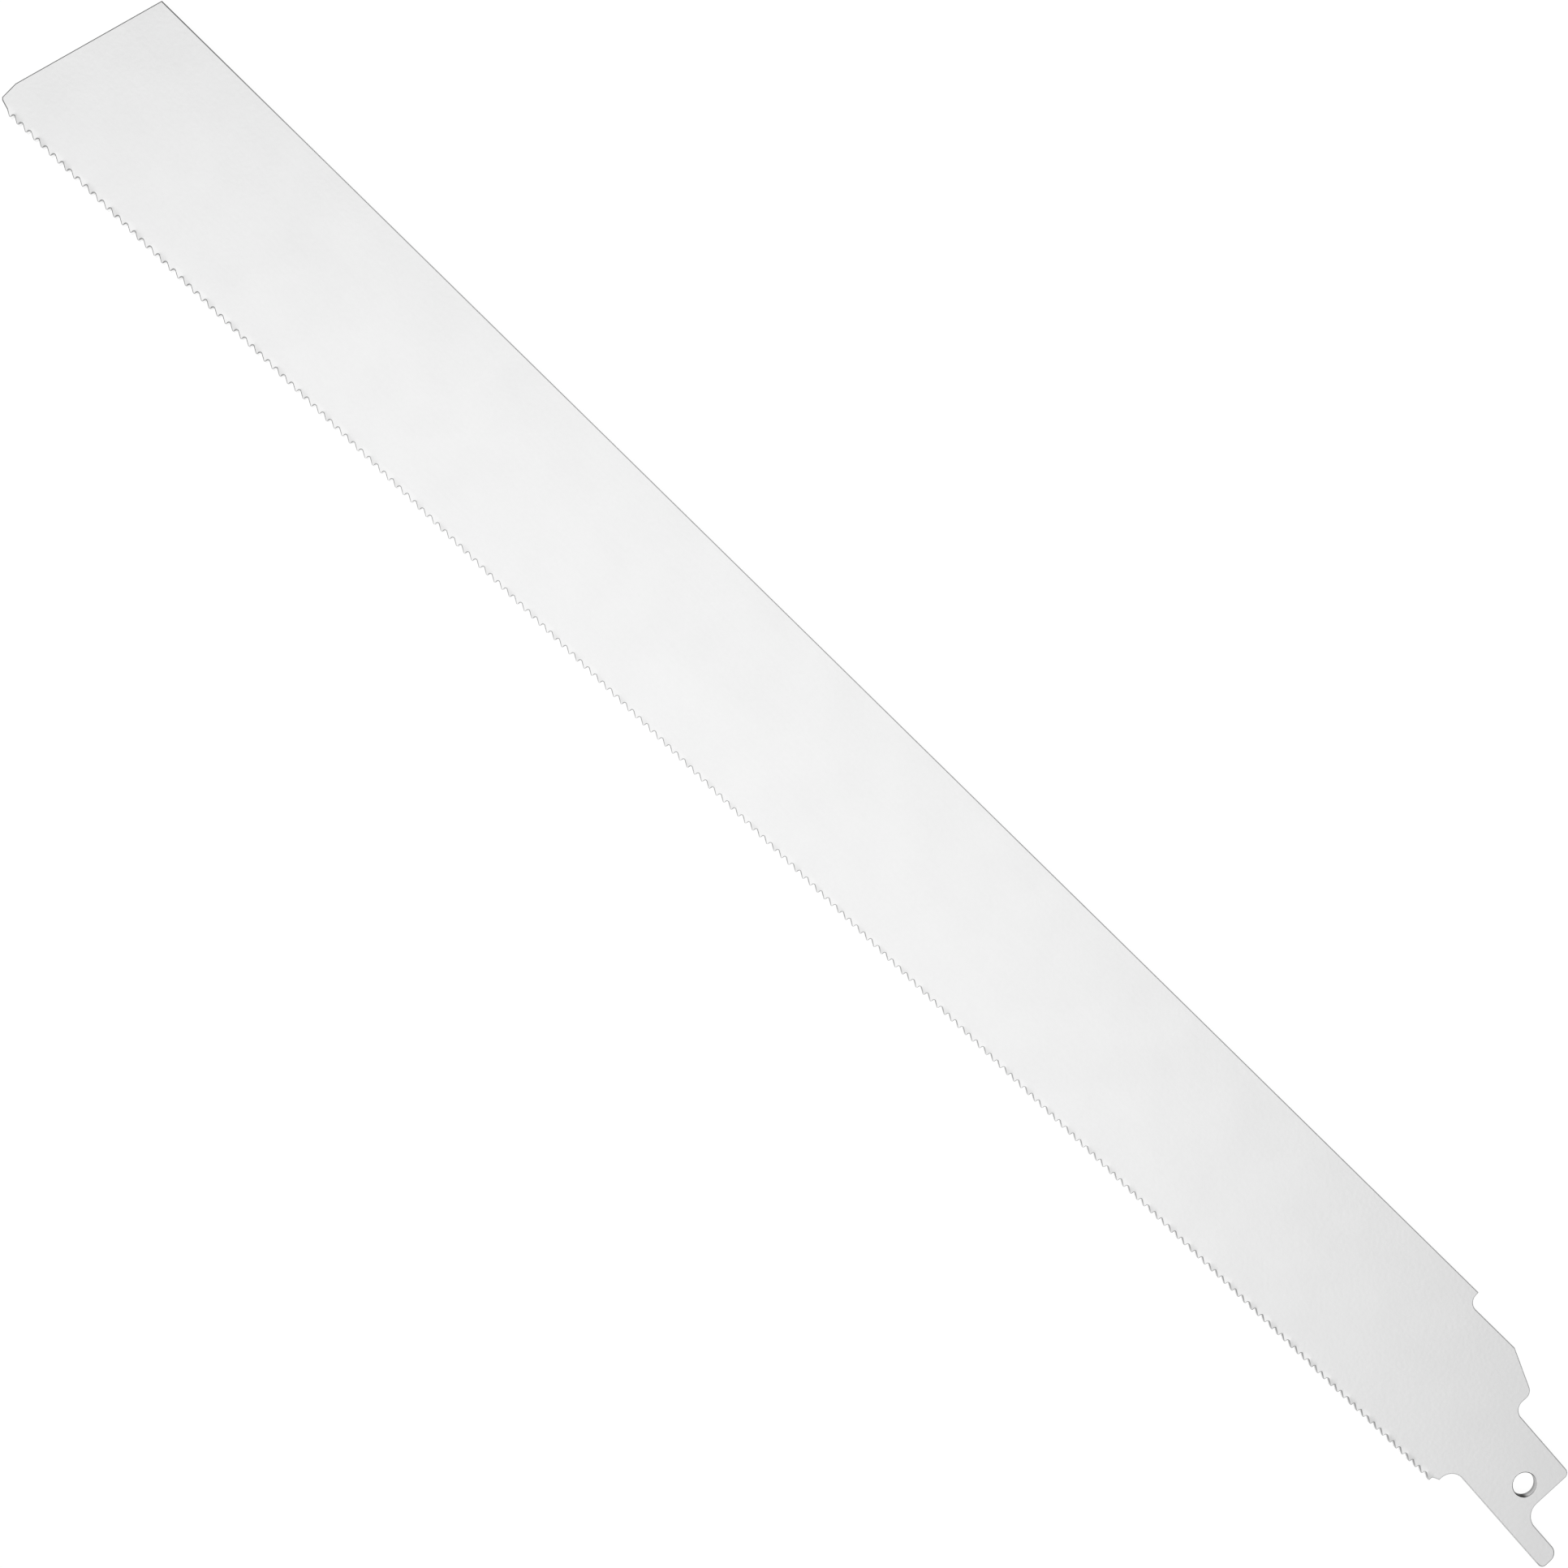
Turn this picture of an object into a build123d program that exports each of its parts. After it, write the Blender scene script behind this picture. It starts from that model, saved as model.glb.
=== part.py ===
"""Reciprocating saw blade: one stamped strip of steel with a canted shank, a pin hole, a hooked tail
and a fine toothed edge whose teeth are set left, right and straight in turn.

The origin is the centre of the pin hole at mid thickness. +X runs along the blade to its free end,
+Y points to the toothed edge and +Z is square to the flat faces.
"""
from build123d import *
from math import cos, radians, sin, tan
import os

# strip and body, millimetres and degrees
THICKNESS = 0.89
BODY_WIDTH = 25.25          # back edge to tooth tips
HOLE_TO_TIPS = 9.55         # pin hole to the line of the tooth tips
HOLE_TO_END = 290.62        # pin hole to the free end
END_SLANT = 15.2            # lean of the free end from square
END_FLAT_TOP = 1.32         # square stretch of the free end, measured down from the tips
END_FLAT_FOOT = 3.85
END_CORNER_BACK = 0.28      # the corner cut between the square stretch and the last ramp
END_CORNER_DEPTH = 1.02

# toothed edge
TOOTH_PITCH = 25.4 / 18
TOOTH_COUNT = 197
HOLE_TO_FIRST_TOOTH = 11.57
FLANK_ANGLE = 32.0          # long back of a tooth, from the line of the tips
RAKE_LEAN = 8.0             # cutting face of a tooth, from square
GULLET_RADIUS = 0.2
SET = 0.18                  # sideways bend of a set tooth at its tip
END_RAMP_DEPTH = 0.62       # where the flank of the outermost tooth runs out
HEEL_VALLEY_DEPTH = 0.74
HEEL_CORNER_DEPTH = 1.21
HOLE_TO_HEEL = 10.28

# shank, in its own canted directions
CANT = 4.5                  # tilt of the shank against the body
SHANK_WIDTH = 12.6
PIN_OFFSET = 0.08           # middle of the shank to the pin hole
PIN_HOLE_DIAMETER = 3.66
LUG_REACH = 3.6             # pin hole to the square end of the shank
LUG_RADIUS = 0.95
TAIL_REACH = 11.85          # pin hole to the end of the tail
TAIL_WIDTH = 3.4
TAIL_NOTCH_RADIUS = 2.43
TAIL_INNER_RADIUS = 1.58
TAIL_OUTER_RADIUS = 0.78
HEEL_RADIUS = 2.35
SHOULDER_REACH = 9.89       # pin hole to the wall of the shoulder
SHOULDER_FOOT_RADIUS = 1.65
SHOULDER_TOP_RADIUS = 1.5

# relieved back edge between the shoulder and the body
RELIEF_DEPTH = 2.11
RELIEF_START = 16.0         # pin hole to the start of the relieved straight
RELIEF_END = 26.06          # pin hole to the notch wall in the back edge
RELIEF_SLOPE = 24.2
RELIEF_RADIUS = 1.5

back_y = HOLE_TO_TIPS - BODY_WIDTH
relief_y = back_y + RELIEF_DEPTH
flank = radians(FLANK_ANGLE)
lean = radians(RAKE_LEAN)
cant = radians(CANT)

# centre of a gullet, measured from the tip of the tooth whose cutting face it meets
gullet_down = tan(flank) * (TOOTH_PITCH - GULLET_RADIUS / cos(lean)) - GULLET_RADIUS / cos(flank)
gullet_down = gullet_down / (1 + tan(flank) * tan(lean))
gullet_back = GULLET_RADIUS / cos(lean) + gullet_down * tan(lean)
bend_depth = gullet_down + GULLET_RADIUS * sin(lean)


def tooth_x(index):
    return HOLE_TO_FIRST_TOOTH + index * TOOTH_PITCH


def tip(index):
    return Vector(tooth_x(index), HOLE_TO_TIPS)


def rake_foot(index, depth=bend_depth):
    return tip(index) - Vector(depth * tan(lean), depth)


def flank_point(index, depth=bend_depth):
    return tip(index) + Vector(depth / tan(flank), -depth)


def in_shank(along, across):
    """a point given along and across the canted shank, in the directions of the body"""
    return Vector(along * cos(cant) + across * sin(cant), across * cos(cant) - along * sin(cant))


def set_tips(side, first):
    """every third tooth above the bend line, leaning towards one side of the strip"""
    with BuildPart() as tips:
        with BuildSketch(Plane.YZ):
            with BuildLine():
                Polyline(
                    (HOLE_TO_TIPS - bend_depth, THICKNESS / 2),
                    (HOLE_TO_TIPS, side * SET + THICKNESS / 2),
                    (HOLE_TO_TIPS, side * SET - THICKNESS / 2),
                    (HOLE_TO_TIPS - bend_depth, -THICKNESS / 2),
                    close=True,
                )
            make_face()
        extrude(amount=HOLE_TO_END)
        with BuildSketch(Plane.XY.offset(-THICKNESS)):
            for index in range(first, TOOTH_COUNT, 3):
                with BuildLine():
                    Polyline(tip(index), rake_foot(index), flank_point(index), close=True)
                make_face()
        extrude(amount=2 * THICKNESS, mode=Mode.INTERSECT)
    return tips.part


# corners of the shank and the shoulder before they are rounded
low_side = PIN_OFFSET + SHANK_WIDTH / 2
high_side = PIN_OFFSET - SHANK_WIDTH / 2
lug_corner = in_shank(-LUG_REACH, high_side)
notch_corner = in_shank(-LUG_REACH, low_side - TAIL_WIDTH)
tail_inner = in_shank(-TAIL_REACH, low_side - TAIL_WIDTH)
tail_outer = in_shank(-TAIL_REACH, low_side)
heel_foot = Vector(HOLE_TO_HEEL, (low_side - HOLE_TO_HEEL * sin(cant)) / cos(cant))
shoulder_foot = in_shank(SHOULDER_REACH, high_side)
relief_start = Vector(RELIEF_START, relief_y)
slope = tan(radians(RELIEF_SLOPE))
climb = (relief_y - shoulder_foot.Y + slope * (RELIEF_START - shoulder_foot.X)) / (cos(cant) + slope * sin(cant))
shoulder_top = shoulder_foot + climb * Vector(sin(cant), cos(cant))
end_run = (BODY_WIDTH - END_FLAT_FOOT) * tan(radians(END_SLANT))

with BuildPart() as saw_blade:
    with BuildSketch(Plane.XY.offset(-THICKNESS / 2)) as plan:
        with BuildLine():
            # heel and toothed edge: straight teeth whole, set teeth up to the bend line
            Line((HOLE_TO_HEEL, HOLE_TO_TIPS - HEEL_CORNER_DEPTH), rake_foot(0, HEEL_VALLEY_DEPTH))
            Line(rake_foot(0, HEEL_VALLEY_DEPTH), rake_foot(0))
            for index in range(TOOTH_COUNT):
                if index % 3 == 2:
                    Polyline(rake_foot(index), tip(index), flank_point(index))
                else:
                    Line(rake_foot(index), flank_point(index))
                if index < TOOTH_COUNT - 1:
                    centre = tip(index + 1) - Vector(gullet_back, gullet_down)
                    foot = centre + GULLET_RADIUS * Vector(-sin(flank), -cos(flank))
                    Line(flank_point(index), foot)
                    ThreePointArc(foot, centre - Vector(0, GULLET_RADIUS), rake_foot(index + 1))
            # free end, back edge, shoulder, shank and tail
            last = TOOTH_COUNT - 1
            Polyline(
                flank_point(last),
                flank_point(last, END_RAMP_DEPTH),
                (HOLE_TO_END - END_CORNER_BACK, HOLE_TO_TIPS - END_CORNER_DEPTH),
                (HOLE_TO_END, HOLE_TO_TIPS - END_FLAT_TOP),
                (HOLE_TO_END, HOLE_TO_TIPS - END_FLAT_FOOT),
                (HOLE_TO_END - end_run, back_y),
                (RELIEF_END, back_y),
                (RELIEF_END, relief_y),
                relief_start,
                shoulder_top,
                shoulder_foot,
                lug_corner,
                notch_corner,
                tail_inner,
                tail_outer,
                heel_foot,
                (HOLE_TO_HEEL, HOLE_TO_TIPS - HEEL_CORNER_DEPTH),
            )
        make_face()
        for corner, radius in (
            (Vector(RELIEF_END, relief_y), RELIEF_RADIUS),
            (shoulder_top, SHOULDER_TOP_RADIUS),
            (shoulder_foot, SHOULDER_FOOT_RADIUS),
            (lug_corner, LUG_RADIUS),
            (notch_corner, TAIL_NOTCH_RADIUS),
            (tail_inner, TAIL_INNER_RADIUS),
            (tail_outer, TAIL_OUTER_RADIUS),
            (heel_foot, HEEL_RADIUS),
            (rake_foot(0, HEEL_VALLEY_DEPTH), GULLET_RADIUS),
        ):
            fillet(plan.vertices().sort_by_distance(corner)[0], radius)
        Circle(PIN_HOLE_DIAMETER / 2, mode=Mode.SUBTRACT)
    extrude(amount=THICKNESS)
    add(set_tips(1, 0))
    add(set_tips(-1, 1))

saw_blade.part.label = "saw_blade"
os.makedirs("parts", exist_ok=True)
export_step(saw_blade.part, "parts/saw_blade.step")
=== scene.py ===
"""Looks of the reciprocating saw blade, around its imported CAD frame.

The blade is one stamped strip of satin steel. Its plan is one closed path, and the rounded edge of
the strip is a profile carried along that path. The teeth bend to one side, to the other and stay
straight in turn, with a soft bend below the gullets. Plan sizes are in millimetres and become
metres where a mesh, the floor or the camera is made.
"""
import math

import bmesh
import bpy
import numpy as np
from mathutils import Matrix, Quaternion, Vector


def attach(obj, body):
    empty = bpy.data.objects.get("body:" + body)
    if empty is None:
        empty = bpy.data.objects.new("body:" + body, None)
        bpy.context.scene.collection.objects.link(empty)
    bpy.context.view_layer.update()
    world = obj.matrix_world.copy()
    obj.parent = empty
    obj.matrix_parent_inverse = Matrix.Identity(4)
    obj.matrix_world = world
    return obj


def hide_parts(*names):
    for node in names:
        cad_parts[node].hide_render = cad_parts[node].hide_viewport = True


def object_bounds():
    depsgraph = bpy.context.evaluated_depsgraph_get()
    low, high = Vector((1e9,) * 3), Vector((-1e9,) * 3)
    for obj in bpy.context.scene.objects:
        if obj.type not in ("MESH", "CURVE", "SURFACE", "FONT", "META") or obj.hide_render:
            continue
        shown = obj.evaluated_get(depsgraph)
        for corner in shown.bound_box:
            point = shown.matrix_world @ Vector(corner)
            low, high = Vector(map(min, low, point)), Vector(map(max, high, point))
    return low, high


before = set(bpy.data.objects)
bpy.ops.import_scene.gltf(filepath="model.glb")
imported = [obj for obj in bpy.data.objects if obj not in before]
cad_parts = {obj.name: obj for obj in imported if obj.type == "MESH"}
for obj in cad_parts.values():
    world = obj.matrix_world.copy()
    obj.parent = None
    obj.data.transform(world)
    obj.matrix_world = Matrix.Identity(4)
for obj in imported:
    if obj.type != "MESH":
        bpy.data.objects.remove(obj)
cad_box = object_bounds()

MM = 0.001

# strip and body
THICKNESS = 0.89
BODY_WIDTH = 25.25
HOLE_TO_TIPS = 9.55
HOLE_TO_END = 290.62
END_SLANT = 15.2
END_FLAT_TOP = 1.32
END_FLAT_FOOT = 3.85
END_CORNER_BACK = 0.28
END_CORNER_DEPTH = 1.02

# toothed edge
TOOTH_PITCH = 25.4 / 18
TOOTH_COUNT = 197
HOLE_TO_FIRST_TOOTH = 11.57
FLANK_ANGLE = 32.0
RAKE_LEAN = 8.0
GULLET_RADIUS = 0.2
SET = 0.12                  # sideways bend of a set tooth at its tip; the CAD part has 0.18
TIP_RADIUS = 0.17           # rounding of the tips in plan; the CAD part has sharp tips
BEND_DEPTH = 1.3            # tips to the start of the bend of a set tooth
BEND_KNEE = 0.5             # length over which the bend curves before it runs straight
ROOT_DEPTH = 1.7            # tips to the line where the flat fill of a face begins
ROOT_ROWS = (0.16, 0.32, 0.5, 0.7, 1.0)  # rows of points on the way down to that line
END_RAMP_DEPTH = 0.62
HEEL_VALLEY_DEPTH = 0.74
HEEL_CORNER_DEPTH = 1.21
HOLE_TO_HEEL = 10.28

# shank
CANT = 4.5
SHANK_WIDTH = 12.6
PIN_OFFSET = 0.08
PIN_HOLE_DIAMETER = 3.66
LUG_REACH = 3.6
LUG_RADIUS = 0.95
TAIL_REACH = 11.85
TAIL_WIDTH = 3.4
TAIL_NOTCH_RADIUS = 2.43
TAIL_INNER_RADIUS = 1.58
TAIL_OUTER_RADIUS = 0.78
HEEL_RADIUS = 2.35
SHOULDER_REACH = 9.89
SHOULDER_FOOT_RADIUS = 1.65
SHOULDER_TOP_RADIUS = 1.5

# relieved back edge
RELIEF_DEPTH = 2.11
RELIEF_START = 16.0
RELIEF_END = 26.06
RELIEF_SLOPE = 24.2
RELIEF_RADIUS = 1.5

# edges of the stamped strip
ROLLED_EDGE = 0.18          # rounding of the upper edge
BORE_EDGE = 0.13            # rounding of the pin hole's upper edge, where the punch went in
BURRED_EDGE = 0.06          # rounding of the lower edge
TOOTH_EDGE = 0.12           # both edges of a tooth
FLAT_MARGIN = 0.02          # flat line that keeps the faces flat beside the rounding
BORE_STEPS = 72             # points round the pin hole
SHARP_ANGLE = 38            # edges bent by more than this stay sharp, degrees

# finishes, in the order of the blade's material slots, and the most that any of them reflects
SATIN, STAMPED, MILLED, GROUND, PUNCHED, PUNCHED_RIM = range(6)
BRIGHTEST = 0.95

# floor: metres, the shade of its matt part, the glow it shows and how much of that is mixed in
FLOOR_SIZE = 6
FLOOR_MIDDLE = 0.14
FLOOR_PALE = (0.92, 0.92, 0.92, 1)
FLOOR_GLOW = 1.08
FLOOR_SHOWN = 0.85

# camera, millimetres and degrees
VIEW_FROM = (171.776, 4.825, 213.293)
VIEW_AT = (152.653, 1.654, -0.09)
VIEW_ROLL = 124.581

# light overhead, leaning towards the toothed edge: degrees from its heart, and levels
LIGHT_LEAN = 20.4
LIGHT_HEART = 24.8
LIGHT_RIM = 67
LIGHT_HIGH = 1.195
LIGHT_LOW = 0.3

flank = math.radians(FLANK_ANGLE)
lean = math.radians(RAKE_LEAN)
cant = math.radians(CANT)
back_y = HOLE_TO_TIPS - BODY_WIDTH
relief_y = back_y + RELIEF_DEPTH
gullet_down = math.tan(flank) * (TOOTH_PITCH - GULLET_RADIUS / math.cos(lean))
gullet_down = gullet_down - GULLET_RADIUS / math.cos(flank)
gullet_down = gullet_down / (1 + math.tan(flank) * math.tan(lean))
gullet_back = GULLET_RADIUS / math.cos(lean) + gullet_down * math.tan(lean)


# The plan

def point(x, y):
    return np.array([x, y], float)


def in_shank(along, across):
    """A point given along and across the canted shank, turned by the cant into the body's directions."""
    x = along * math.cos(cant) + across * math.sin(cant)
    y = across * math.cos(cant) - along * math.sin(cant)
    return point(x, y)


def between(start, end, steps):
    """Points start + (end - start) * s for s evenly in (0, 1), without the two ends."""
    s = np.arange(1, steps) / steps
    return start + (end - start) * s[:, None]


def rounded(before, corner, after, radius, steps=10):
    """The arc of that radius that touches both runs of a corner. With a and b the unit directions to
    the neighbours and h half the angle between them, its centre is corner + (a + b)/|a + b| * radius/sin h,
    and its points swing evenly from the first touching point to the second."""
    a = (before - corner) / np.linalg.norm(before - corner)
    b = (after - corner) / np.linalg.norm(after - corner)
    half = math.acos(a @ b) / 2
    centre = corner + (a + b) / np.linalg.norm(a + b) * radius / math.sin(half)
    first = corner + a * radius / math.tan(half) - centre
    second = corner + b * radius / math.tan(half) - centre
    swing = math.pi - 2 * half
    s = (np.arange(steps + 1) / steps)[:, None]
    return centre + (np.sin((1 - s) * swing) * first + np.sin(s * swing) * second) / math.sin(swing)


def toothed_edge():
    """The toothed edge from the first tip to the last: one tooth's points (rounded tip, flank, gullet
    arc, rake) plus pitch * k for k = 0, 1, 2 ..., and the last tip at the end."""
    centre = point(TOOTH_PITCH - gullet_back, -gullet_down)
    angles = np.radians(np.linspace(-90 - FLANK_ANGLE, -RAKE_LEAN, 5))
    gullet = centre + GULLET_RADIUS * np.stack([np.cos(angles), np.sin(angles)], 1)
    pitch = point(TOOTH_PITCH, 0)
    tip = rounded(gullet[-1] - pitch, point(0, 0), gullet[0], TIP_RADIUS, 3)
    down = between(tip[-1], gullet[0], 3)
    up = between(gullet[-1], tip[0] + pitch, 2)
    tooth = np.vstack([tip, down, gullet, up])
    shift = np.arange(TOOTH_COUNT - 1)[:, None] * pitch
    row = (tooth[None] + shift[:, None]).reshape(-1, 2)
    last = tip + (TOOTH_COUNT - 1) * pitch
    return point(HOLE_TO_FIRST_TOOTH, HOLE_TO_TIPS) + np.vstack([row, last])


def blade_plan():
    """The whole outline, clockwise seen from above, with the slice of its points from the heel valley
    to the last tip and the wider slice that ends on flat steel at both sides of it."""
    teeth = toothed_edge()
    first_tip = point(HOLE_TO_FIRST_TOOTH, HOLE_TO_TIPS)
    last_tip = first_tip + (TOOTH_COUNT - 1) * point(TOOTH_PITCH, 0)
    low_side = PIN_OFFSET + SHANK_WIDTH / 2
    high_side = PIN_OFFSET - SHANK_WIDTH / 2
    heel_corner = point(HOLE_TO_HEEL, HOLE_TO_TIPS - HEEL_CORNER_DEPTH)
    valley = first_tip - HEEL_VALLEY_DEPTH * point(math.tan(lean), 1)
    ramp = last_tip + END_RAMP_DEPTH * point(1 / math.tan(flank), -1)
    end_corner = point(HOLE_TO_END - END_CORNER_BACK, HOLE_TO_TIPS - END_CORNER_DEPTH)
    end_top = point(HOLE_TO_END, HOLE_TO_TIPS - END_FLAT_TOP)
    end_foot = point(HOLE_TO_END, HOLE_TO_TIPS - END_FLAT_FOOT)
    end_run = (BODY_WIDTH - END_FLAT_FOOT) * math.tan(math.radians(END_SLANT))
    end_back = point(HOLE_TO_END - end_run, back_y)
    notch_top = point(RELIEF_END, back_y)
    notch_foot = point(RELIEF_END, relief_y)
    relief_start = point(RELIEF_START, relief_y)
    shoulder_foot = in_shank(SHOULDER_REACH, high_side)
    slope = math.tan(math.radians(RELIEF_SLOPE))
    climb = relief_y - shoulder_foot[1] + slope * (RELIEF_START - shoulder_foot[0])
    climb = climb / (math.cos(cant) + slope * math.sin(cant))
    shoulder_top = shoulder_foot + climb * point(math.sin(cant), math.cos(cant))
    lug = in_shank(-LUG_REACH, high_side)
    notch = in_shank(-LUG_REACH, low_side - TAIL_WIDTH)
    tail_inner = in_shank(-TAIL_REACH, low_side - TAIL_WIDTH)
    tail_outer = in_shank(-TAIL_REACH, low_side)
    heel_foot = point(HOLE_TO_HEEL, (low_side - HOLE_TO_HEEL * math.sin(cant)) / math.cos(cant))
    runs = [
        between(heel_corner, valley, 4)[:-1],
        rounded(heel_corner, valley, first_tip, GULLET_RADIUS, 3),
        teeth,
        [ramp],
        between(ramp, end_corner, 4),
        [end_corner, end_top, end_foot, end_back, notch_top],
        rounded(notch_top, notch_foot, relief_start, RELIEF_RADIUS),
        [relief_start],
        rounded(relief_start, shoulder_top, shoulder_foot, SHOULDER_TOP_RADIUS),
        rounded(shoulder_top, shoulder_foot, lug, SHOULDER_FOOT_RADIUS),
        rounded(shoulder_foot, lug, notch, LUG_RADIUS),
        rounded(lug, notch, tail_inner, TAIL_NOTCH_RADIUS, 14),
        rounded(notch, tail_inner, tail_outer, TAIL_INNER_RADIUS),
        rounded(tail_inner, tail_outer, heel_foot, TAIL_OUTER_RADIUS),
        rounded(tail_outer, heel_foot, heel_corner, HEEL_RADIUS, 14),
        [heel_corner],
    ]
    first = len(runs[0])
    last = first + len(runs[1]) + len(teeth)
    return np.vstack(runs), slice(first, last), slice(1, last + 3)


# The body

def mitres(path):
    """For each point of a closed path, the step that moves it one unit into the steel on both of its
    runs: with m and n the runs' inward normals, (m + n) / (1 + m.n)."""
    along = np.roll(path, -1, axis=0) - path
    along = along / np.linalg.norm(along, axis=1, keepdims=True)
    after = np.stack([along[:, 1], -along[:, 0]], 1)
    before = np.roll(after, 1, axis=0)
    return (before + after) / (1 + np.sum(before * after, axis=1, keepdims=True))


def edge_rings(path, upper, lower):
    """The strip's edge as rings over the path, from the upper face round to the lower one. A ring
    at angle a of a rounding of radius r lies r * (1 - sin a) inside the path and r * (1 - cos a)
    off the face."""
    angles = np.radians([0, 0, 30, 60, 90])[:, None]
    margin = np.array([FLAT_MARGIN, 0, 0, 0, 0])[:, None]
    half = THICKNESS / 2
    top_in = upper * (1 - np.sin(angles)) + margin
    top_z = half - upper * (1 - np.cos(angles))
    foot_in = (lower * (1 - np.sin(angles)) + margin)[::-1]
    foot_z = (lower * (1 - np.cos(angles)) - half)[::-1]
    inset = np.vstack([top_in, foot_in])
    height = np.vstack([top_z, foot_z]) + np.zeros_like(inset)
    plan = path[None] + inset[:, :, None] * mitres(path)[None]
    return np.concatenate([plan, height[:, :, None]], axis=2)


def bend(x, y):
    """Sideways bend of the set teeth. Down a tooth, u = BEND_DEPTH - depth below the tips gives
    u^2 / (2 knee) up to the knee and u - knee / 2 past it, scaled to SET at the tip. Along the edge
    the side is +1, -1, 0 in turn and changes smoothly across each gullet."""
    u = np.clip(y - (HOLE_TO_TIPS - BEND_DEPTH), 0, None)
    lift = np.where(u < BEND_KNEE, u ** 2 / (2 * BEND_KNEE), u - BEND_KNEE / 2)
    lift = lift / (BEND_DEPTH - BEND_KNEE / 2)
    place = (x - HOLE_TO_FIRST_TOOTH + gullet_back) / TOOTH_PITCH
    gullet = np.round(place).astype(int)
    s = np.clip((place - gullet) * TOOTH_PITCH / (2 * GULLET_RADIUS) + 0.5, 0, 1)
    s = s * s * (3 - 2 * s)
    sides = np.array([1, -1, 0])

    def side(tooth):
        return np.where((tooth >= 0) & (tooth < TOOTH_COUNT), sides[tooth % 3], 0)

    return SET * lift * (side(gullet - 1) * (1 - s) + side(gullet) * s)


def grid_faces(index, closed):
    """Quads over a grid of vertex numbers, rows by columns, with the last column joined to the first
    where the grid is closed."""
    ahead = np.roll(index, -1, axis=1)
    quads = np.stack([index[:-1], ahead[:-1], ahead[1:], index[1:]], axis=2)
    if not closed:
        quads = quads[:, :-1]
    return quads.reshape(-1, 4)


def blade_mesh():
    """The edge rings of the outline and of the pin hole, a strip of rows under the teeth that carries
    the bend, and a flat fill between them on each face."""
    path, teeth, bent = blade_plan()
    upper = np.full(len(path), ROLLED_EDGE)
    lower = np.full(len(path), BURRED_EDGE)
    upper[teeth] = lower[teeth] = TOOTH_EDGE
    rim = edge_rings(path, upper, lower)
    turn = np.linspace(0, 2 * math.pi, BORE_STEPS, endpoint=False)
    circle = PIN_HOLE_DIAMETER / 2 * np.stack([np.cos(turn), np.sin(turn)], 1)
    bore = edge_rings(circle, np.full(BORE_STEPS, BORE_EDGE), np.full(BORE_STEPS, BURRED_EDGE))

    rows = np.array(ROOT_ROWS)[:, None]
    root_y = HOLE_TO_TIPS - ROOT_DEPTH
    strips = []
    for ring in (rim[0, bent], rim[-1, bent]):
        strip = np.repeat(ring[None], len(rows), axis=0)
        strip[:, :, 1] = ring[:, 1] + (root_y - ring[:, 1]) * rows
        strips.append(strip)

    blocks = [rim, bore, *strips]
    counts = [b.shape[0] * b.shape[1] for b in blocks]
    starts = np.cumsum([0] + counts)
    rim_i, bore_i, top_i, foot_i = [
        start + np.arange(n).reshape(b.shape[:2]) for start, n, b in zip(starts, counts, blocks)
    ]
    verts = np.vstack([b.reshape(-1, 3) for b in blocks])
    verts[:, 2] += bend(verts[:, 0], verts[:, 1])

    top_strip = grid_faces(np.vstack([rim_i[:1, bent], top_i]), False)[:, ::-1]
    foot_strip = grid_faces(np.vstack([rim_i[-1:, bent], foot_i]), False)
    rim_faces = grid_faces(rim_i, True)
    bore_faces = grid_faces(bore_i, True)
    faces = np.vstack([rim_faces, bore_faces, top_strip, foot_strip])
    rim_finish = np.full((len(rim) - 1, len(path)), STAMPED)
    rim_finish[:, teeth] = MILLED
    climbing = np.roll(path[:, 1], -1) > path[:, 1]
    climbing[:teeth.start] = climbing[teeth.stop:] = False
    rim_finish[:, climbing] = GROUND
    bore_finish = np.full((len(bore) - 1, bore.shape[1]), PUNCHED)
    bore_finish[:4] = PUNCHED_RIM
    for finish in (rim_finish, bore_finish):
        finish[[0, -1]] = SATIN
    finishes = np.full(len(faces), SATIN)
    edges = np.concatenate([rim_finish.ravel(), bore_finish.ravel()])
    finishes[:edges.size] = edges

    mesh = bpy.data.meshes.new("saw_blade_satin")
    mesh.from_pydata(verts * MM, [], faces.tolist())
    mesh.polygons.foreach_set("material_index", finishes)
    bm = bmesh.new()
    bm.from_mesh(mesh)
    for up in (1, -1):
        rim_edges = [e for e in bm.edges if e.is_boundary and e.verts[0].co.z * up > 0]
        filled = bmesh.ops.triangle_fill(bm, edges=rim_edges, use_beauty=True, normal=(0, 0, up))
        for face in filled["geom"]:
            if isinstance(face, bmesh.types.BMFace) and face.normal.z * up < 0:
                face.normal_flip()
    bm.to_mesh(mesh)
    bm.free()
    mesh.shade_smooth()
    mesh.set_sharp_from_angle(angle=math.radians(SHARP_ANGLE))
    return mesh


# Materials

def node(tree, kind, **values):
    """A new node. A value is a setting of the node, an input's default or a socket to link to it;
    inputs are named as in the node, or by number as in_0."""
    made = tree.nodes.new(kind)
    for name, value in values.items():
        if hasattr(made, name):
            setattr(made, name, value)
            continue
        socket = made.inputs[int(name[3:]) if name.startswith("in_") else name.replace("_", " ")]
        if isinstance(value, bpy.types.NodeSocket):
            tree.links.new(value, socket)
        else:
            socket.default_value = value
    return made


def maths(tree, operation, first, second):
    return node(tree, "ShaderNodeMath", operation=operation, in_0=first, in_1=second).outputs[0]


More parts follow.
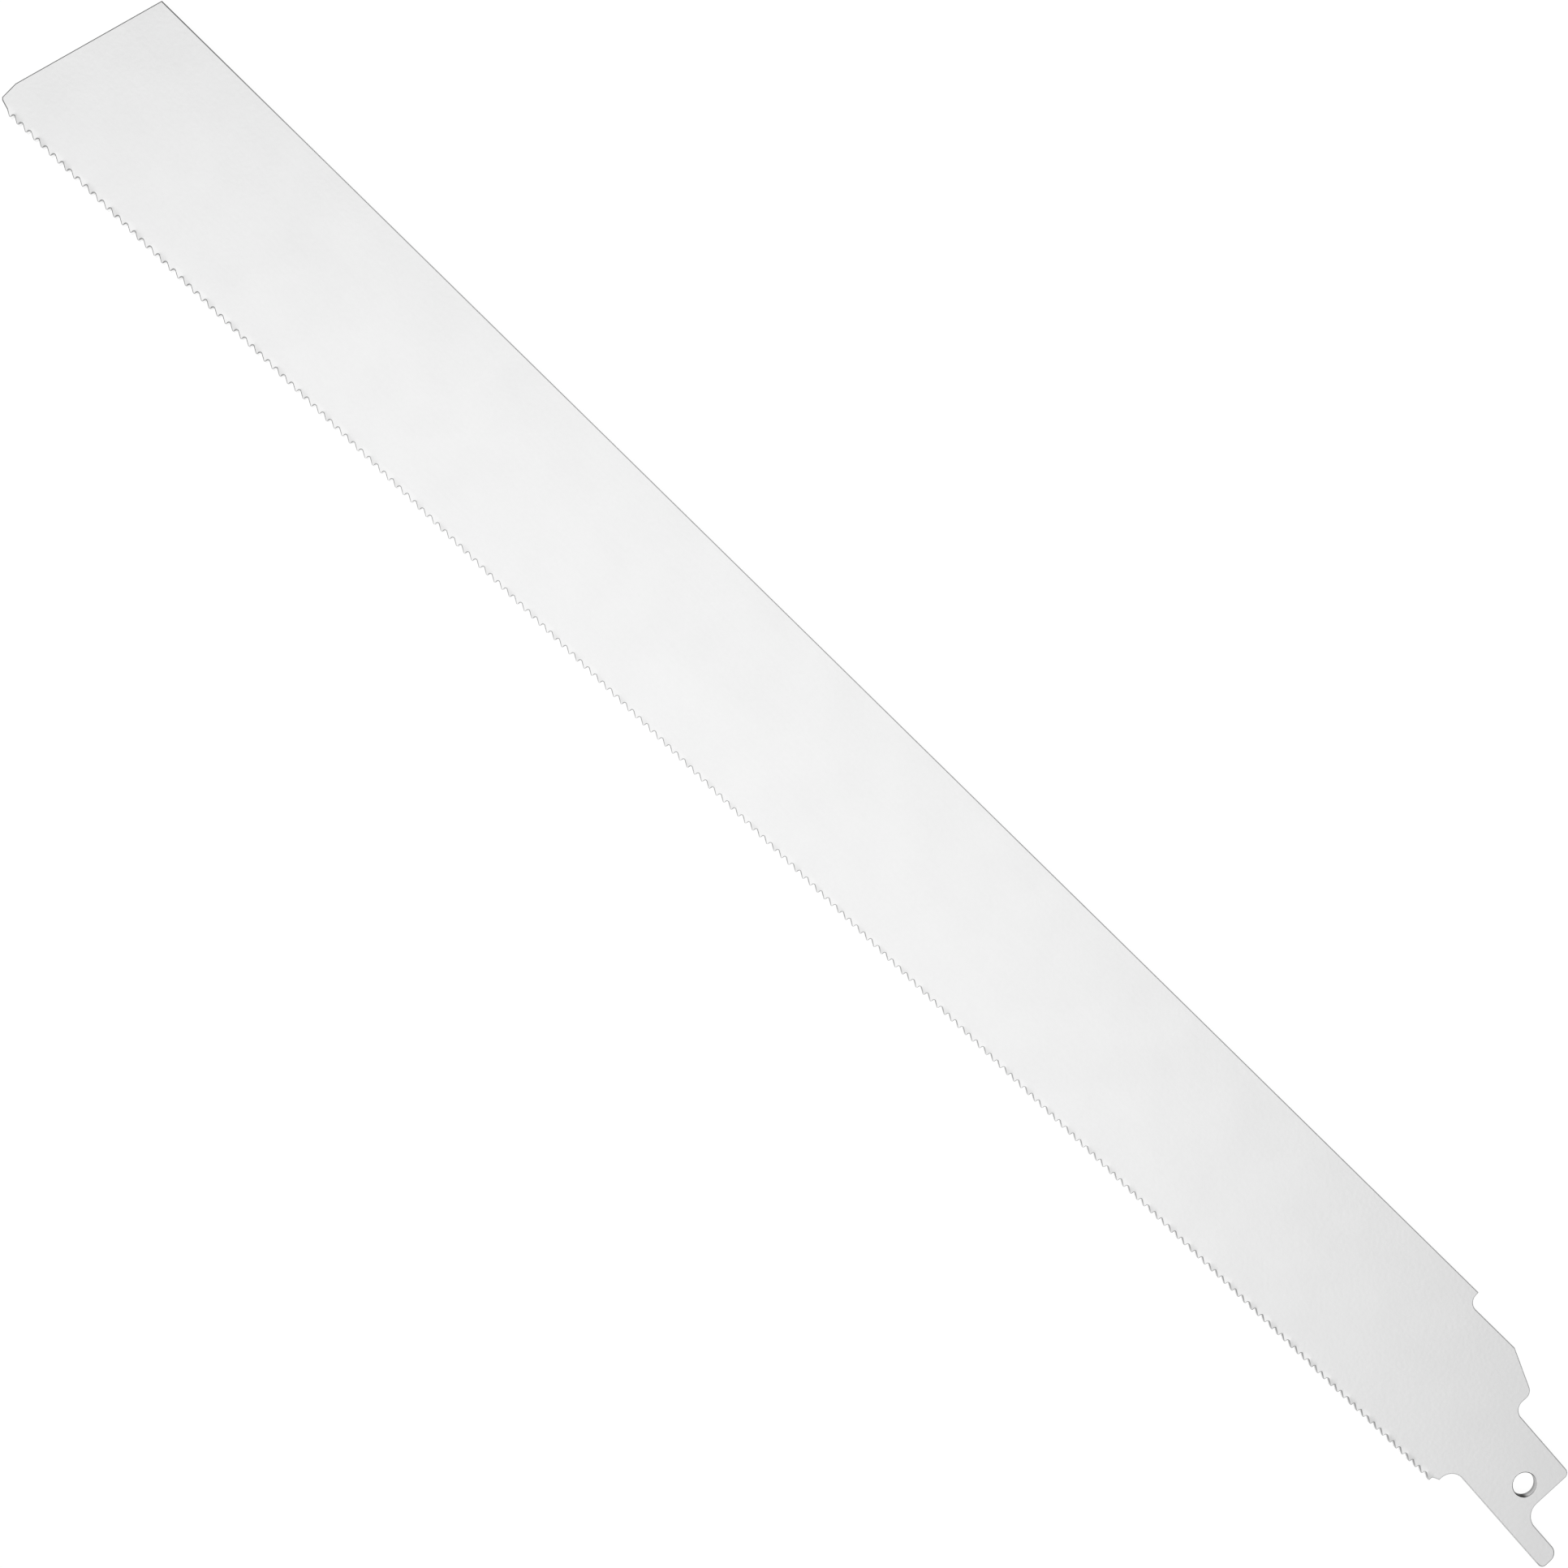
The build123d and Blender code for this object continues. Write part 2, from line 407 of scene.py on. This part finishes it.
def new_group(name, inputs, outputs):
    """An empty shader group with float inputs (and their defaults) and float outputs."""
    tree = bpy.data.node_groups.new(name, "ShaderNodeTree")
    for label, value in inputs.items():
        socket = tree.interface.new_socket(label, in_out="INPUT", socket_type="NodeSocketFloat")
        socket.default_value = value
    for label in outputs:
        tree.interface.new_socket(label, in_out="OUTPUT", socket_type="NodeSocketFloat")
    return tree, tree.nodes.new("NodeGroupInput").outputs, tree.nodes.new("NodeGroupOutput").inputs


def satin_grain_group():
    """The blasted satin of the steel: a fine grain with faint clouds in its shade, lines left by the
    rolling of the strip, and a few dark specks. Lengths are in metres."""
    tree, given, out = new_group(
        "satin_grain",
        {"Grain Size": 0.0006, "Cloud Size": 0.008, "Cloud Depth": 0.02, "Speck Depth": 0.1},
        ["Shade", "Roughness", "Height"],
    )
    place = node(tree, "ShaderNodeTexCoord").outputs["Object"]

    def noise(size, detail, vector=place):
        scale = maths(tree, "DIVIDE", 1.0, size) if isinstance(size, bpy.types.NodeSocket) else 1 / size
        return node(tree, "ShaderNodeTexNoise", Vector=vector, Scale=scale, Detail=detail).outputs[0]

    clouds = noise(given["Cloud Size"], 3)
    grain = noise(given["Grain Size"], 2)
    stretched = node(tree, "ShaderNodeMapping", Vector=place, Scale=(0.012, 1, 1)).outputs[0]
    rolled = noise(0.00025, 1, stretched)
    cells = node(tree, "ShaderNodeTexVoronoi", Vector=place, Scale=1 / 0.006)
    speck = node(
        tree, "ShaderNodeMapRange", interpolation_type="SMOOTHSTEP", Value=cells.outputs["Distance"],
        From_Min=0.03, From_Max=0.012, To_Min=0.0, To_Max=1.0,
    ).outputs[0]
    hue = node(tree, "ShaderNodeSeparateColor", Color=cells.outputs["Color"]).outputs[0]
    speck = maths(tree, "MULTIPLY", speck, maths(tree, "LESS_THAN", hue, 0.12))

    shade = maths(tree, "MULTIPLY", maths(tree, "SUBTRACT", clouds, 0.5), given["Cloud Depth"])
    shade = maths(tree, "ADD", shade, maths(tree, "MULTIPLY", maths(tree, "SUBTRACT", grain, 0.5), 0.03))
    shade = maths(tree, "ADD", shade, maths(tree, "MULTIPLY", maths(tree, "SUBTRACT", rolled, 0.5), 0.015))
    shade = maths(tree, "SUBTRACT", shade, maths(tree, "MULTIPLY", speck, given["Speck Depth"]))
    tree.links.new(maths(tree, "ADD", shade, 1.0), out["Shade"])
    tree.links.new(maths(tree, "MULTIPLY", maths(tree, "SUBTRACT", clouds, 0.5), 0.12), out["Roughness"])
    tree.links.new(maths(tree, "ADD", grain, maths(tree, "MULTIPLY", rolled, 0.15)), out["Height"])
    return tree


def share_along(tree, axis, start, end, share):
    """A factor that runs smoothly from 1 at start to share at end along one axis, in millimetres."""
    place = node(tree, "ShaderNodeTexCoord").outputs["Object"]
    along = node(tree, "ShaderNodeSeparateXYZ", Vector=place).outputs[axis]
    return node(
        tree, "ShaderNodeMapRange", interpolation_type="SMOOTHSTEP", Value=along,
        From_Min=start * MM, From_Max=end * MM, To_Min=1.0, To_Max=share,
    ).outputs[0]


def steel(name, shade, roughness, grain, height, painted_light_and_shade=(), **sizes):
    """A steel finish: its own shade and roughness, varied by the satin grain, and bumped by its
    height. Its shade is scaled by each share (axis, start, end, share): painted shade and painted
    light, darker or lighter where light falls differently on the cuts, edges and teeth."""
    material = bpy.data.materials.new(name)
    material.use_nodes = True
    tree = material.node_tree
    shader = tree.nodes["Principled BSDF"]
    shader.inputs["Metallic"].default_value = 1.0
    surface = node(tree, "ShaderNodeGroup", node_tree=grain, **sizes).outputs
    level = maths(tree, "MULTIPLY", surface["Shade"], shade)
    for share in painted_light_and_shade:
        level = maths(tree, "MULTIPLY", level, share_along(tree, *share))
    level = maths(tree, "MINIMUM", level, BRIGHTEST)
    colour = node(tree, "ShaderNodeCombineColor", Red=level, Green=level, Blue=level).outputs[0]
    tree.links.new(colour, shader.inputs["Base Color"])
    tree.links.new(maths(tree, "ADD", surface["Roughness"], roughness), shader.inputs["Roughness"])
    bump = node(tree, "ShaderNodeBump", Height=surface["Height"], Distance=height, Strength=1.0)
    tree.links.new(bump.outputs[0], shader.inputs["Normal"])
    return material


def white_floor():
    """A pale matt floor that also shows white to the camera and in the steel, and keeps the shadow."""
    material = bpy.data.materials.new("studio_floor")
    material.use_nodes = True
    tree = material.node_tree
    tree.nodes.clear()
    rays = node(tree, "ShaderNodeLightPath").outputs
    seen = maths(tree, "MAXIMUM", rays["Is Camera Ray"], rays["Is Glossy Ray"])
    seen = maths(tree, "MAXIMUM", seen, rays["Is Transmission Ray"])
    matt = node(tree, "ShaderNodeBsdfDiffuse", Color=FLOOR_PALE).outputs[0]
    glow = node(tree, "ShaderNodeEmission", Strength=FLOOR_GLOW).outputs[0]
    shown = maths(tree, "MULTIPLY", seen, FLOOR_SHOWN)
    mix = node(tree, "ShaderNodeMixShader", in_0=shown, in_1=matt, in_2=glow)
    node(tree, "ShaderNodeOutputMaterial", Surface=mix.outputs[0])
    return material


# Pieces

blade = bpy.data.objects.new("blade", blade_mesh())
bpy.context.scene.collection.objects.link(blade)
grain = satin_grain_group()
half = THICKNESS / 2
bore = PIN_HOLE_DIAMETER / 2
# painted shade: the teeth grow darker towards the heel and towards the free end
painted_shade_at_ends = [("X", 80, 45, 0.8), ("X", 220, 250, 0.75)]
for finish in (
    steel(
        "satin_steel", 0.8, 0.32, grain, 1.0e-5,
        # a shade lighter near the teeth: partly the brighter steel of the toothed zone, partly painted
        # light that offsets the shade on the set teeth
        [("Y", HOLE_TO_TIPS - 1.4, HOLE_TO_TIPS - 0.9, 1.01)],
    ),
    # the cut edge is duller than the face; on top of that, painted shade: darker down the wall towards the
    # lower face and along the edges at the free end and the tail end
    steel(
        "stamped_edge_painted_shade", 0.7, 0.42, grain, 2.0e-5,
        [("Z", half, -half, 0.4), ("X", 255, 285, 0.4), ("X", -9.5, -11.2, 0.4)], Grain_Size=0.0003,
    ),
    # painted shade: the tooth edges are dark along their top and in the gullets, lighter down the wall and
    # towards the tips
    steel(
        "milled_teeth_painted_shade", 0.42, 0.3, grain, 1.0e-5,
        [
            ("Z", 0.4 * half, -0.4 * half, 2.2),
            ("Y", HOLE_TO_TIPS - 0.55, HOLE_TO_TIPS - 0.1, 1.6),
            *painted_shade_at_ends,
        ],
        Grain_Size=0.0003,
    ),
    # painted shade: the rake walls are dark near their top and in the gullets, lighter lower down and
    # towards the tips
    steel(
        "ground_rake_painted_shade", 0.45, 0.25, grain, 1.0e-5,
        [
            ("Z", 0.8 * half, 0.3 * half, 2.1),
            ("Y", HOLE_TO_TIPS - 0.65, HOLE_TO_TIPS - 0.1, 1.9),
            *painted_shade_at_ends,
        ],
        Grain_Size=0.0003,
    ),
    # painted shade: the pin hole's wall darkens towards the lower face and on its +Y side
    steel(
        "punched_bore_painted_shade", 0.66, 0.45, grain, 2.0e-5,
        [("Z", half, -half, 0.45), ("Y", 0.35 * bore, 0.8 * bore, 0.04)], Grain_Size=0.0003,
    ),
    # painted shade: the pin hole's rounded upper edge is dark on its +X and +Y sides
    steel(
        "punched_rim_painted_shade", 0.66, 0.45, grain, 2.0e-5,
        [("X", -0.5 * bore, 0.3 * bore, 0.05), ("Y", 0.3 * bore, 0.85 * bore, 0.06)],
        Grain_Size=0.0003,
    ),
):
    blade.data.materials.append(finish)
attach(blade, "root")
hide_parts("saw_blade")

# Studio

bpy.ops.mesh.primitive_plane_add(size=FLOOR_SIZE, location=(FLOOR_MIDDLE, 0, cad_box[0][2]))
floor = bpy.context.object
floor.name = "floor"
floor.data.materials.append(white_floor())

world = bpy.data.worlds.new("overhead_softbox")
world.use_nodes = True
bpy.context.scene.world = world
tree = world.node_tree
lean_over = math.radians(LIGHT_LEAN)
direction = node(tree, "ShaderNodeTexCoord").outputs["Generated"]
towards = node(
    tree, "ShaderNodeVectorMath", operation="DOT_PRODUCT", in_0=direction,
    in_1=(0, math.sin(lean_over), math.cos(lean_over)),
).outputs["Value"]
level = node(
    tree, "ShaderNodeMapRange", interpolation_type="SMOOTHSTEP", Value=towards,
    From_Min=math.cos(math.radians(LIGHT_RIM)), From_Max=math.cos(math.radians(LIGHT_HEART)),
    To_Min=LIGHT_LOW, To_Max=LIGHT_HIGH,
).outputs[0]
seen = node(tree, "ShaderNodeLightPath").outputs["Is Camera Ray"]
backdrop = node(tree, "ShaderNodeMix", in_0=seen, in_2=level, in_3=1.0).outputs[0]
tree.links.new(backdrop, tree.nodes["Background"].inputs["Strength"])
tree.nodes["Background"].inputs["Color"].default_value = (1, 1, 1, 1)

camera = bpy.data.objects.new("camera", bpy.data.cameras.new("camera"))
bpy.context.scene.collection.objects.link(camera)
place, aim = Vector(VIEW_FROM) * MM, Vector(VIEW_AT) * MM
look = (aim - place).to_track_quat("-Z", "Y") @ Quaternion((0, 0, 1), math.radians(VIEW_ROLL))
camera.matrix_world = Matrix.LocRotScale(place, look, None)
camera.data.lens = 35
camera.data.sensor_width = 36
camera.data.clip_start = 0.005
camera.data.clip_end = 50
bpy.context.scene.camera = camera

scene = bpy.context.scene
scene.view_settings.view_transform = "Standard"
